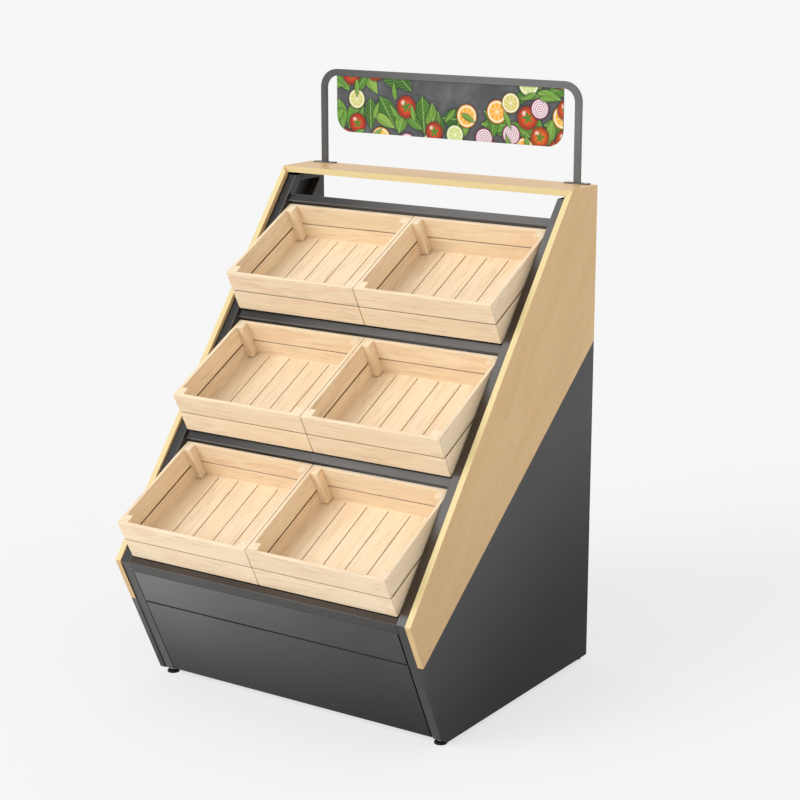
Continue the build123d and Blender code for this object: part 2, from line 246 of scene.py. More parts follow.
# Finishes
def grained_wood(name, dark, middle, light, knot, figure, streaks, flecks, dashes, floor_shade_tone, rough,
                 band=None, lining=None, cut=None):
    """Wood whose grain follows each board, with banded edges, a lining or sawn slots if it has them; painted
    shade darkens it towards the floor and inside the slots, and a painted highlight lightens its rounded
    edges.
    """
    wood = Finish(name, IOR=1.45, Specular_IOR_Level=0.35)
    grain = wood.add("ShaderNodeAttribute", {"attribute_name": "grain"}).outputs["Vector"]
    broad = wood.noise(wood.stretched(grain, (3.2, 16.0, 16.0)), rough=0.5, warp=0.8)
    lines = wood.noise(wood.stretched(grain, (5.0, 240.0, 240.0)), detail=4.0, rough=0.6, warp=0.25)
    fibre = wood.noise(wood.stretched(grain, (18.0, 1100.0, 1100.0)), rough=0.6)
    fleck = wood.noise(wood.stretched(grain, (*dashes, dashes[1]), shift=(3, 5, 1)), rough=0.6)
    colour = wood.ramp(broad, (0.3, dark), (0.5, middle), (0.72, light))
    colour = wood.blend(wood.span(broad, 0.56, 0.7, 0.0, figure), colour, knot)
    colour = wood.blend(wood.span(lines, 0.44, 0.68, 0.0, streaks), colour, tinted(dark, 0.66))
    colour = wood.blend(wood.span(fleck, 0.52, 0.66, 0.0, flecks), colour, tinted(knot, 0.66))
    colour = wood.blend(wood.span(fibre, 0.35, 0.75, 0.0, 0.2), colour, light)
    colour = wood.toned(colour, wood.ramp(wood.mark("board"), (0.0, 0.95), (0.5, 0.99), (1.0, 1.03)))
    # painted shade, darker towards the floor
    _, _, up = wood.split(wood.place)
    colour = wood.toned(colour, wood.span(up, 0.25, 0.9, floor_shade_tone, 1.0))
    if band:
        banded = wood.ramp(lines, (0.3, tinted(band, 0.94)), (0.7, band))
        colour = wood.blend(wood.mark("band"), colour, banded)
    # painted highlight along the rounded edges
    colour = wood.blend(wood.times(wood.mark("edge"), 0.3), colour, light)
    # the sawn faces in the slots are painted dark brown as shade in the slots
    if cut:
        sawn = wood.ramp(fibre, (0.3, tinted(cut, 0.85)), (0.7, cut))
        colour = wood.blend(wood.mark("sawn"), colour, sawn)
    if lining:
        deep, pale = lining
        colour = wood.blend(wood.mark("lining"), colour, wood.ramp(fibre, (0.3, deep), (0.7, pale)))
    wood.feed("Base Color", colour)
    wood.feed("Roughness", wood.span(lines, 0.3, 0.75, rough + 0.08, rough - 0.06))
    pores = wood.calc("ADD", wood.times(lines, 0.7), wood.times(fibre, 0.3))
    wood.relief(pores, strength=0.22, depth=0.0005)
    return wood.material


def charcoal_laminate(deep, pale, speckle, joint_shadow_colour):
    """Dark board with a fine pressed grain; painted shade deepens it towards the floor and the back, painted
    light brightens it towards the left, and a painted shadow line is black at its joints.
    """
    dark = Finish("charcoal_laminate", IOR=1.5)
    cloud = dark.noise(dark.place, scale=2.2, rough=0.5)
    pressed = dark.noise(dark.stretched(dark.place, (900.0, 900.0, 260.0)), detail=2.0, rough=0.5)
    speck = dark.noise(dark.place, scale=1700.0, detail=1.0)
    colour = dark.ramp(cloud, (0.3, deep), (0.7, pale))
    colour = dark.blend(dark.span(speck, 0.6, 0.8, 0.0, 0.2), colour, speckle)
    _, back, up = dark.split(dark.place)
    # painted shade, deeper towards the floor and the back
    height = dark.calc("MULTIPLY_ADD", back, -0.35, up)
    colour = dark.toned(colour, dark.span(height, -0.05, 0.72, 0.2, 1.6))
    # painted shadow line at the joints beside the legs, with less sheen
    joint = dark.mark("joint")
    colour = dark.blend(joint, colour, joint_shadow_colour)
    # painted light: the front panels and the dark sides' insides and edges are lighter towards the left
    dark.feed("Base Color", dark.fade("front", colour, front_shading_reach, tones=(2.65, 1.0)))
    dark.feed("Specular IOR Level", dark.span(joint, 0.0, 1.0, 0.13, 0.02))
    dark.feed("Roughness", dark.span(pressed, 0.3, 0.7, 0.38, 0.5))
    dark.relief(pressed, strength=0.12, depth=0.0002)
    return dark.material


def powder_coat(name, deep, pale, painted_edge_tone, rough):
    """Baked powder paint on steel: orange peel, faint clouds and dust specks, painted light and shade across
    the stand, painted shade and shadow near the crates, and a painted tone along the edges, lighter as a
    highlight on the frame and darker as shade on the header.
    """
    coat = Finish(name, IOR=1.5)
    cloud = coat.noise(coat.place, scale=5.0)
    peel = coat.noise(coat.place, scale=420.0, detail=2.0, rough=0.5)
    speck = coat.noise(coat.place, scale=1500.0, detail=1.0)
    colour = coat.ramp(cloud, (0.32, deep), (0.68, pale))
    colour = coat.blend(coat.span(speck, 0.66, 0.8, 0.0, 0.3), colour, tinted(pale, 1.9))
    # painted light and shade across the stand: what faces the floor ahead is lighter to the left, the
    # sloping fronts darker to the left and lighter to the right
    colour = coat.fade("front", colour, front_shading_reach, tones=(2.1, 0.9))
    colour = coat.fade("slope", colour, slope_shading_reach, tones=(0.1, 3.0))
    rubbed = coat.mark("rubbed")
    beside = coat.mark("beside")
    # painted shade with a warm cast on the knuckle's upper face, under the crates
    colour = coat.blend(rubbed, colour, rubbed_cast, "MULTIPLY")
    # painted shadow of the crates on the right post beside them
    colour = coat.blend(beside, colour, crate_shadow_cast, "MULTIPLY")
    # painted tone along the rounded edges: a highlight where it is lighter, shade where it is darker
    painted_edge_share = coat.times(coat.mark("edge"), coat.span(cloud, 0.3, 0.6, 0.55, 1.0))
    coat.feed("Base Color", coat.blend(painted_edge_share, colour, painted_edge_tone))
    # less sheen where the painted shade and shadow of the crates lie
    coat.feed("Specular IOR Level", coat.span(coat.greatest(rubbed, beside), 0.0, 1.0, 0.4, 0.12))
    coat.feed("Roughness", coat.span(peel, 0.3, 0.7, rough - 0.05, rough + 0.07))
    coat.relief(peel, strength=0.16, depth=0.0003)
    return coat.material


def zinc_plate(dull, bright):
    """Zinc plated steel with a turned grain and dull patches."""
    plate = Finish("zinc_plate", Metallic=1.0)
    patch = plate.noise(plate.place, scale=160.0, detail=4.0, rough=0.6)
    turned = plate.noise(plate.stretched(plate.place, (60.0, 60.0, 2600.0)), detail=2.0)
    plate.feed("Base Color", plate.ramp(patch, (0.3, dull), (0.7, bright)))
    plate.feed("Roughness", plate.span(patch, 0.3, 0.7, 0.28, 0.45))
    plate.relief(turned, strength=0.2, depth=0.0001)
    return plate.material


def moulded_black(deep, scuffed):
    """Black moulded plastic with a fine spark-eroded grain."""
    black = Finish("moulded_black", IOR=1.46, Specular_IOR_Level=0.15)
    spark = black.noise(black.place, scale=1400.0, detail=2.0)
    scuff = black.noise(black.place, scale=90.0, detail=4.0, rough=0.65)
    black.feed("Base Color", black.ramp(scuff, (0.35, deep), (0.75, scuffed)))
    black.feed("Roughness", black.span(scuff, 0.35, 0.75, 0.42, 0.6))
    black.relief(spark, strength=0.2, depth=0.0002)
    return black.material


# The sign's print: leaves, fruit, slices and onion rings strewn along its foot and its ends

# Layers by cell in metres and seed, leaves also by length and width; a motif's sizes are shares of its cell
leaf_layers = ((0.125, 3.0, 0.46, 0.23), (0.108, 8.0, 0.45, 0.20), (0.094, 21.0, 0.45, 0.17))
leaf_drift = 0.1
fruit_layers = ((0.104, 5.0), (0.092, 11.0))
fruit_drift = 0.28
fruit_reach = 0.33
fruit_odds = 0.85
slice_from = 0.42
onion_from = 0.8
sprig_layer = (0.066, 17.0, 0.42, 0.13)
sprig_drift = 0.12
sprig_odds = 0.45
sepals = 5
wedges = 8

# Its inks
slate_inks = ((0.050, 0.053, 0.058), (0.080, 0.084, 0.090), (0.13, 0.135, 0.145))
chalk = (0.5, 0.5, 0.48)
motif_shadow = (0.008, 0.009, 0.010)
leaf_inks = ((0.030, 0.115, 0.016), (0.085, 0.25, 0.022), (0.24, 0.42, 0.06))
leaf_shade = (0.012, 0.05, 0.008)
leaf_rib = (0.36, 0.52, 0.16)
fruit_inks = ((0.60, 0.022, 0.012), (0.72, 0.13, 0.012), (0.42, 0.012, 0.02))
fruit_rim = (0.10, 0.006, 0.005)
fruit_glow = (1.0, 0.80, 0.70)
sepal_green = (0.07, 0.20, 0.02)
flesh_inks = ((0.86, 0.60, 0.06), (0.84, 0.32, 0.03), (0.52, 0.62, 0.22), (0.60, 0.66, 0.30))
rind_inks = ((0.80, 0.46, 0.02), (0.72, 0.20, 0.01), (0.06, 0.19, 0.02), (0.10, 0.26, 0.03))
pith = (0.86, 0.80, 0.62)
onion_flesh = (0.78, 0.70, 0.70)
onion_skin = (0.36, 0.08, 0.20)
onion_rim = (0.16, 0.018, 0.07)


def strewn(ink, flat, cell, seed, drift):
    """Cuts the print into cells, each with a middle that its motif turns about and with its own chances."""
    shift = (0.37 * seed, 0.61 * seed, 0)
    grid = ink.stretched(flat, (1 / cell, 1 / cell, 0), shift)
    corner = ink.vec("FLOOR", grid)
    throw = []
    for step in (0.0, 40.0):
        source = ink.vec("ADD", corner, (0, 0, seed + step))
        throw.append(ink.add("ShaderNodeTexWhiteNoise", {"noise_dimensions": "3D"}, Vector=source).outputs)
    wander = ink.vec("SUBTRACT", throw[0]["Color"], (0.5, 0.5, 0.5))
    wander = ink.vec("MULTIPLY", wander, (drift, drift, 0))
    spot = ink.vec("SUBTRACT", ink.vec("FRACTION", grid), (0.5, 0.5, 0))
    spot = ink.vec("SUBTRACT", spot, wander)
    turn = ink.times(throw[0]["Value"], math.tau)
    turned = ink.add("ShaderNodeVectorRotate", {"rotation_type": "Z_AXIS"}, Vector=spot, Angle=turn)
    middle = ink.vec("SUBTRACT", ink.vec("ADD", corner, (0.5, 0.5, 0)), shift)
    middle = ink.vec("MULTIPLY", middle, (cell, cell, 0))
    return spot, turned.outputs[0], middle, ink.split(throw[1]["Color"]), throw[1]["Value"]


def leaf(ink, turned, kind, length, width):
    """A pointed leaf with a pale rib and side veins; gives how far inside it a place is, and its colour."""
    along, across, _ = ink.split(turned)
    share = ink.calc("DIVIDE", along, length)
    belly = ink.times(ink.minus(1.0, ink.times(share, share)), width)
    belly = ink.times(belly, ink.calc("MULTIPLY_ADD", share, -0.35, 1.0))
    side = ink.calc("ABSOLUTE", across)
    colour = ink.ramp(kind, *zip((0.0, 0.45, 1.0), leaf_inks))
    vein = ink.calc("SINE", ink.times(ink.calc("MULTIPLY_ADD", side, -0.85, along), 62.0))
    rib = ink.greatest(ink.span(vein, 0.72, 1.0, 0.0, 0.3), ink.span(side, 0.006, 0.018, 0.65, 0.0))
    colour = ink.blend(ink.span(across, -0.12, 0.14, 0.35, 0.0), colour, leaf_shade)
    return ink.minus(belly, side), ink.blend(rib, colour, leaf_rib)


def rays(ink, turned, wave, count):
    """A wave that runs round the middle, with as many crests as the count says."""
    along, across, _ = ink.split(turned)
    angle = ink.calc("ARCTAN2", across, along)
    return ink.calc("ABSOLUTE", ink.calc(wave, ink.times(angle, count / 2)))


def fruit(ink, spot, turned, kind):
    """A round fruit with a shaded rim, a soft highlight and a green star of sepals."""
    reach = ink.vec("LENGTH", spot)
    colour = ink.ramp(kind, *zip((0.0, 0.5, 1.0), fruit_inks))
    colour = ink.blend(ink.span(reach, 0.1, fruit_reach, 0.0, 0.72), colour, fruit_rim)
    glow = ink.vec("LENGTH", ink.vec("SUBTRACT", spot, (-0.11, 0.12, 0.0)))
    colour = ink.blend(ink.span(glow, 0.02, 0.1, 0.7, 0.0), colour, fruit_glow)
    star = ink.calc("MULTIPLY_ADD", rays(ink, turned, "COSINE", sepals), 0.12, 0.05)
    return ink.blend(ink.span(ink.minus(star, reach), 0.0, 0.02), colour, sepal_green)


def cut_slice(ink, turned, kind):
    """A round slice with rind, pith and wedges of flesh."""
    reach = ink.vec("LENGTH", turned)
    flesh = ink.ramp(kind, *zip((0.0, 0.4, 0.6, 1.0), flesh_inks))
    rind = ink.ramp(kind, *zip((0.0, 0.4, 0.6, 1.0), rind_inks))
    spoke = ink.times(rays(ink, turned, "SINE", wedges), reach)
    colour = ink.blend(ink.span(spoke, 0.012, 0.045, 0.85, 0.0), flesh, pith)
    colour = ink.blend(ink.span(reach, 0.235, 0.262), colour, pith)
    return ink.blend(ink.span(reach, 0.285, 0.3), colour, rind)


def onion_ring(ink, spot):
    """A cut onion: pale rings with purple skins between them."""
    reach = ink.vec("LENGTH", spot)
    wave = ink.calc("SINE", ink.times(reach, 92.0))
    colour = ink.ramp(wave, (0.25, onion_flesh), (0.8, onion_skin))
    return ink.blend(ink.span(reach, 0.29, 0.31), colour, onion_rim)


def laid_on(ink, ground, inside, present, colour):
    """Lays a motif with its soft shadow over what is below it."""
    shade = ink.times(ink.span(inside, -0.07, 0.01, 0.0, 0.6), present)
    ground = ink.blend(shade, ground, motif_shadow)
    return ink.blend(ink.times(ink.span(inside, 0.0, 0.014), present), ground, colour)


def market_print(low, high):
    """The sign: slate with faint mottling and chalk dust, and on its front a border of market produce."""
    ink = Finish("market_print", IOR=1.48, Specular_IOR_Level=0.3)
    mottle = ink.noise(ink.place, scale=16.0, detail=6.0, rough=0.6, warp=0.4)
    dust = ink.add("ShaderNodeTexVoronoi", {"feature": "F1"}, Vector=ink.place, Scale=95.0)
    slate = ink.ramp(mottle, *zip((0.28, 0.5, 0.75), slate_inks))
    slate = ink.blend(ink.span(dust.outputs["Distance"], 0.0, 0.07, 0.3, 0.0), slate, chalk)
    across, _, up = ink.split(ink.place)
    flat = ink.triple(across, up)
    centre, half = (low + high) / 2, (high - low) / 2

    def present(middle, odds, share=1.0):
        """1 in the cells that hold a motif, which are more towards the sign's foot and its ends."""
        side, height, _ = ink.split(middle)
        end = ink.span(ink.calc("ABSOLUTE", side), 0.36 * half.x, 0.70 * half.x)
        foot = ink.span(height, centre.z + 0.5 * half.z, centre.z - 0.3 * half.z)
        return ink.calc("LESS_THAN", odds, ink.times(ink.greatest(end, foot), share))

    colour = slate
    for cell, seed, length, width in leaf_layers:
        _, turned, middle, kinds, odds = strewn(ink, flat, cell, seed, leaf_drift)
        inside, green = leaf(ink, turned, kinds[0], length, width)
        colour = laid_on(ink, colour, inside, present(middle, odds), green)
    for cell, seed in fruit_layers:
        spot, turned, middle, kinds, odds = strewn(ink, flat, cell, seed, fruit_drift)
        inside = ink.minus(fruit_reach, ink.vec("LENGTH", spot))
        whole = fruit(ink, spot, turned, kinds[0])
        halved = cut_slice(ink, turned, kinds[0])
        motif = ink.blend(ink.calc("GREATER_THAN", kinds[1], slice_from), whole, halved)
        motif = ink.blend(ink.calc("GREATER_THAN", kinds[1], onion_from), motif, onion_ring(ink, spot))
        colour = laid_on(ink, colour, inside, present(middle, odds, fruit_odds), motif)
    cell, seed, length, width = sprig_layer
    _, turned, middle, kinds, odds = strewn(ink, flat, cell, seed, sprig_drift)
    inside, green = leaf(ink, turned, ink.calc("MULTIPLY_ADD", kinds[0], 0.4, 0.6), length, width)
    colour = laid_on(ink, colour, inside, present(middle, odds, sprig_odds), green)
    ink.feed("Base Color", ink.blend(ink.mark("print"), slate, colour))
    ink.feed("Roughness", ink.span(mottle, 0.3, 0.7, 0.34, 0.46))
    ink.relief(mottle, strength=0.03, depth=0.0002)
    return ink.material


oak = grained_wood(
    "oak_board", dark=(0.672, 0.434, 0.204), middle=(0.701, 0.460, 0.221), light=(0.727, 0.488, 0.244),
    knot=(0.64, 0.40, 0.18), figure=0.1, streaks=0.1, flecks=0.38, dashes=(36.0, 430.0),
    floor_shade_tone=0.88, rough=0.36,
    band=(0.76, 0.62, 0.315), lining=((0.030, 0.028, 0.027), (0.040, 0.038, 0.036)))
# the pine's cut colour is painted shade inside the slots of the crates
pine = grained_wood(
    "pine_board", dark=(0.850, 0.655, 0.440), middle=(0.895, 0.720, 0.500), light=(0.925, 0.775, 0.570),
    knot=(0.84, 0.585, 0.365), figure=0.64, streaks=0.22, flecks=0.32, dashes=(9.0, 95.0),
    floor_shade_tone=0.985, rough=0.56,
    cut=(0.22, 0.105, 0.028))
laminate = charcoal_laminate(
    deep=(0.041, 0.041, 0.042), pale=(0.050, 0.050, 0.051),
    speckle=(0.09, 0.09, 0.092), joint_shadow_colour=(0.006, 0.006, 0.006))
# the frame's painted edge tone is a lighter highlight; the header's is darker, painted shade
frame_paint = powder_coat(
    "frame_powder_coat", deep=(0.029, 0.028, 0.027), pale=(0.039, 0.0375, 0.036),
    painted_edge_tone=(0.135, 0.13, 0.125), rough=0.40)
header_paint = powder_coat(
    "header_powder_coat", deep=(0.082, 0.082, 0.082), pale=(0.100, 0.100, 0.100),
    painted_edge_tone=(0.05, 0.05, 0.05), rough=0.42)
zinc = zinc_plate(dull=(0.42, 0.42, 0.43), bright=(0.60, 0.60, 0.58))
plastic = moulded_black(deep=(0.006, 0.006, 0.006), scuffed=(0.016, 0.016, 0.017))
sign_face = market_print(*(Vector(corner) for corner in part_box("sign_panel")))

finish_of_slot = {
    "frame_steel": (frame_paint, edge_round_tube),
    "header_steel": (header_paint, edge_round_tube),
    "oak_board": (oak, edge_round_board),
    "dark_board": (laminate, edge_round_board),
    "crate_pine": (pine, edge_round_pine),
    "sign_sheet": (sign_face, edge_round_sheet),
    "black_plastic": (plastic, edge_round_sheet),
}


# Finished copies of the solids: merged, with rounded edges, and with each board's own grain
def welded(node):
    """A node's solids, each merged into one skin and parted from the solids that it touches."""
    mesh = bmesh.new()
    mesh.from_mesh(nodes[node].data)
    bmesh.ops.remove_doubles(mesh, verts=mesh.verts, dist=weld_reach)
    seen, skins = set(), []
    for face in mesh.faces:
        if face in seen:
            continue
        seen.add(face)
        skin, fresh = [], [face]
        while fresh:
            skin.append(fresh.pop())
            for edge in skin[-1].edges:
                for other in edge.link_faces:
                    if len(edge.link_faces) == 2 and other not in seen:
                        seen.add(other)
                        fresh.append(other)
        skins.append(skin)
    for skin in skins[1:]:
        bmesh.ops.split(mesh, geom=skin)
    return mesh


def islands(mesh):
    """Groups of vertices that hang together, one for each separate solid."""
    mesh.verts.index_update()
    left = set(mesh.verts)
    while left:
        seed = min(left, key=lambda vert: vert.index)
        found, fresh = {seed}, [seed]
        while fresh:
            vert = fresh.pop()
            for link in vert.link_edges:
                other = link.other_vert(vert)
                if other not in found:
                    found.add(other)
                    fresh.append(other)
        left -= found
        yield found


def ends_along(verts, way):
    """Least and greatest place of some vertices along a direction."""
    places = [vert.co.dot(way) for vert in verts]
    return min(places), max(places)


def extent(verts, way):
    low, high = ends_along(verts, way)
    return high - low


def widest(mesh, chosen):
    """The largest of the faces that are chosen."""
    return max((face for face in mesh.faces if chosen(face)), key=lambda face: face.calc_area())


def cut_face(mesh, face, place, way):
    """Parts one face along a plane."""
    bmesh.ops.bisect_plane(mesh, geom=[face, *face.edges, *face.verts], plane_co=place, plane_no=way)


def board_axes(node):
    """Directions of a node's boards: tilted with the decks on the crates, square to the floor elsewhere."""
    turn = Matrix.Rotation(crate_tilt, 3, "X") if node.startswith("crate_") else Matrix.Identity(3)
    return [turn @ Vector(axis) for axis in ((1, 0, 0), (0, 1, 0), (0, 0, 1))]


def lay_grain(mesh, node, chance):
    """Writes the place along, across and through its board at each vertex, and a shade for each board."""
    grain = mesh.verts.layers.float_vector.new("grain")
    board = mesh.verts.layers.float.new("board")
    axes = board_axes(node)
    for group in islands(mesh):
        lengths = [extent(group, axis) for axis in axes]
        if node.startswith("wood_side"):
            order = [slope_way, slope_back, axes[0]]
        elif lengths[1] > wide_board:
            order = [axes[1], axes[0], axes[2]]
        else:
            order = [axes[place] for place in sorted(range(3), key=lambda place: -lengths[place])]
        shift = Vector((chance.uniform(-9, 9), chance.uniform(-9, 9), chance.uniform(-9, 9)))
        shade = chance.random()
        for vert in group:
            vert[grain] = Vector([vert.co.dot(axis) for axis in order]) + shift
            vert[board] = shade


def mark_band(mesh, node):
    """Marks the banded narrow faces, with more of the wood's tone on the top board and on the undercut
    edges, where it is painted shade.
    """
    band = mesh.faces.layers.float.new("band")
    side = node.startswith("wood_side")
    for face in mesh.faces:
        across = abs(face.normal.x) if side else max(abs(face.normal.x), abs(face.normal.z))
        if across < half_on:
            undercut = face.normal.y < 0.0 and face.normal.z < -barely_on
            side_band = undercut_shaded_band if undercut else 1.0
            face[band] = side_band if side else top_board_band


def mark_front_shading(mesh, node):
    """Marks where painted light and shade run across the stand: what faces the floor ahead, the knuckle in
    part, and a dark side's inside and edges.
    """
    front = mesh.faces.layers.float.new("front")
    outward = {"dark_side_left": -1.0, "dark_side_right": 1.0}.get(node)
    share = knuckle_front_shading if node == "knuckle_bar" else 1.0
    for face in mesh.faces:
        down = face.normal.y < -half_on and face.normal.z < 0.0
        inside = outward is not None and face.normal.x * outward < half_on
        face[front] = share if down or inside else 0.0


def mark_joint_shadow(mesh):
    """Marks the painted shadow line at both ends of a front panel, beside the legs."""
    joint = mesh.faces.layers.float.new("joint")
    end = max(vert.co.x for vert in mesh.verts) - joint_shadow_width
    for side in (-end, end):
        front = widest(mesh, lambda face: face.normal.y < -half_on)
        cut_face(mesh, front, (side, 0, 0), (1, 0, 0))
    for face in mesh.faces:
        if abs(face.calc_center_median().x) > end:
            face[joint] = 1.0


def mark_slope_shading(mesh, node):
    """Marks the sloping front of posts and bars, and the header in part, for painted light and shade across
    the stand, and on the knuckle the face that takes painted shade under the crates.
    """
    marked = mesh.faces.layers.float.new("rubbed" if node == "knuckle_bar" else "slope")
    for face in mesh.faces:
        ahead = face.normal.dot(slope_back) < -square_on
        face[marked] = header_slope_shading if node == "header_frame" else float(ahead)


def mark_crate_shadow(mesh):
    """Marks the stretches of the right post that lie beside a crate, where a painted shadow of the crate
    lies, softly towards their upper ends.
    """
    beside = mesh.verts.layers.float.new("beside")
    for tier in tiers:
        foot, _ = ends_along(nodes[f"crate_{tier}_right_walls"].data.vertices, slope_way)
        for rise, share in crate_shadow_steps:
            cut = bmesh.ops.bisect_plane(mesh, geom=[*mesh.verts, *mesh.edges, *mesh.faces],
                                         plane_co=(foot + rise) * slope_way, plane_no=slope_way)
            for part in cut["geom_cut"]:
                if isinstance(part, bmesh.types.BMVert):
                    part[beside] = share


def mark_lining(mesh, node):
    """Marks the dark lining inside a wood side board, behind a narrow strip along its sloping edge."""
    lining = mesh.faces.layers.float.new("lining")
    inward = 1.0 if node.endswith("left") else -1.0
    start = front_edge_foot + lining_inset * slope_back
    cut_face(mesh, widest(mesh, lambda face: face.normal.x * inward > square_on), start, slope_back)
    for face in mesh.faces:
        behind = (face.calc_center_median() - start).dot(slope_back) > 0
        if behind and face.normal.x * inward > square_on:
            face[lining] = 1.0


def mark_slot_shade(mesh, node):
    """Marks the sawn faces inside the slots of a crate, painted dark as shade in the slots, fully in its
    side walls and in part elsewhere.
    """
    sawn = mesh.faces.layers.float.new("sawn")
    axes = board_axes(node)
    walls = node.endswith("_walls")
    across = axes[2 if walls else 0]
    low, high = ends_along(mesh.verts, across)
    for face in mesh.faces:
        place = face.calc_center_median().dot(across)
        inside = low + slot_margin < place < high - slot_margin
        if inside and abs(face.normal.dot(across)) > square_on:
            side_wall = walls and extent(face.verts, axes[1]) > extent(face.verts, axes[0])
            face[sawn] = 1.0 if side_wall else floor_slot_shade


def mark_print(mesh):
    """Marks the printed front of the sign."""
    printed = mesh.faces.layers.float.new("print")
    for face in mesh.faces:
        face[printed] = float(face.normal.y < -square_on)


def round_edges(mesh, size, long_only):
    """Rounds the outward edges, on tubes only the long ones, keeps the flat faces flat, and marks the
    rounded faces, which the finishes paint lighter as a highlight and the header's darker as shade.
    """
    painted_edge_tone = mesh.faces.layers.float.new("edge")
    chosen = []
    for edge in mesh.edges:
        if len(edge.link_faces) != 2 or edge.calc_face_angle_signed() < round_from:
            continue
        if long_only and edge.calc_length() < tube_end_edge:
            continue
        chosen.append(edge)
    for face in mesh.faces:
        face.smooth = face.calc_area() < small_face
    made = bmesh.ops.bevel(mesh, geom=chosen, offset=size, segments=2, profile=0.5, affect="EDGES",
                           clamp_overlap=True)
    for face in made["faces"]:
        face.smooth = True
        face[painted_edge_tone] = 1.0
    for edge in mesh.edges:
        edge.smooth = len(edge.link_faces) == 2 and edge.calc_face_angle() < crease_from


def mark_faces(mesh, node, slot):
    """Writes the marks that a node's finish reads."""
    if slot == "oak_board":
        mark_band(mesh, node)
    if slot == "dark_board" or node == "knuckle_bar" or node.startswith("front_leg"):
        mark_front_shading(mesh, node)
    if node in ("fascia_panel", "kick_panel"):
        mark_joint_shadow(mesh)
    if node.startswith("slope_post") or node in ("knuckle_bar", "tier_bars", "display_rail", "header_frame"):
        mark_slope_shading(mesh, node)
    if node == "slope_post_right":
        mark_crate_shadow(mesh)
    if node.startswith("wood_side"):
        mark_lining(mesh, node)
    if node.endswith(("_walls", "_floor")):
        mark_slot_shade(mesh, node)
    if slot == "sign_sheet":
        mark_print(mesh)


def placed(name, data, body, slot, *stands_for):
    """Puts a finished mesh on its body, in the place of the nodes that it stands for."""
    piece = bpy.data.objects.new(name, data)
    bpy.context.scene.collection.objects.link(piece)
    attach(piece, body)
    if stands_for:
        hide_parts(*stands_for)


def finished(node, chance):
    """A finished copy of a node's solids, which then stands for the node."""
    slot = slot_of_node[node]
    material, size = finish_of_slot[slot]
    if node == "header_plates":
        material = frame_paint
    if node.startswith("shelf_"):
        size = edge_round_sheet
    mesh = welded(node)
    bmesh.ops.dissolve_limit(mesh, angle_limit=flat_within, verts=mesh.verts, edges=mesh.edges)
    round_edges(mesh, size, slot in ("frame_steel", "header_steel"))
    mesh.normal_update()
    if slot in ("oak_board", "crate_pine"):
        lay_grain(mesh, node, chance)
    mark_faces(mesh, node, slot)
    data = bpy.data.meshes.new(f"{node}_finish")
    mesh.to_mesh(data)
    mesh.free()
    data.materials.append(material)
    placed(f"{node}_finish", data, body_of_node[node], slot, node)


chance = random.Random(7)
for node in sorted(nodes):
    if slot_of_node[node] != "zinc_steel":
        finished(node, chance)


# What repeats: screws, brads and threads, grown from points
class Grower(Wiring):
    """A Geometry Nodes tree with named sizes that grows a shape on each of a few points."""

    def __init__(self, name, **sizes):
        super().__init__(bpy.data.node_groups.new(name, "GeometryNodeTree"))
        sockets = self.tree.interface
        sockets.new_socket("Points", in_out="INPUT", socket_type="NodeSocketGeometry")
        self.sizes = {}
        for size, value in sizes.items():
            socket = sockets.new_socket(size, in_out="INPUT", socket_type="NodeSocketFloat")
            self.sizes[socket.identifier] = value
        sockets.new_socket("Shape", in_out="OUTPUT", socket_type="NodeSocketGeometry")
        self.start = self.add("NodeGroupInput").outputs

    def shape(self, kind, **inputs):
        return self.add(kind, **inputs).outputs[0]

    def moved(self, shape, place=(0, 0, 0), scale=(1, 1, 1)):
        return self.shape("GeometryNodeTransform", Geometry=shape, Translation=place, Scale=scale)

    def close(self, shape, material, turn=None):
        """Sets the shape on the points, makes it real and gives it its finish."""
        spread = self.add("GeometryNodeInstanceOnPoints", Points=self.start[0], Instance=shape)
        if turn is not None:
            self.set(spread.inputs["Rotation"], turn)
        real = self.shape("GeometryNodeRealizeInstances", Geometry=spread.outputs[0])
        coated = self.shape("GeometryNodeSetMaterial", Geometry=real, Material=material)
        self.set(self.add("NodeGroupOutput").inputs[0], coated)

    def grow(self, name, places, aims=None):
        """Runs the tree on the points and gives the plain mesh that it makes."""
        points = bpy.data.meshes.new(f"{name}_points")
        points.from_pydata(places, [], [])
        if aims:
            aim = points.attributes.new("aim", "FLOAT_VECTOR", "POINT")
            for entry, way in zip(aim.data, aims):
                entry.vector = way
        holder = bpy.data.objects.new(f"{name}_points", points)
        modifier = holder.modifiers.new("grow", "NODES")
        modifier.node_group = self.tree
        for identifier, value in self.sizes.items():
            modifier[identifier] = value
        bpy.context.scene.collection.objects.link(holder)
        seen = holder.evaluated_get(bpy.context.evaluated_depsgraph_get())
        data = bpy.data.meshes.new_from_object(seen)
        data.name = name
        bpy.data.objects.remove(holder)
        data.polygons.foreach_set("use_smooth", [True] * len(data.polygons))
        data.set_sharp_from_angle(angle=grown_crease)
        return data


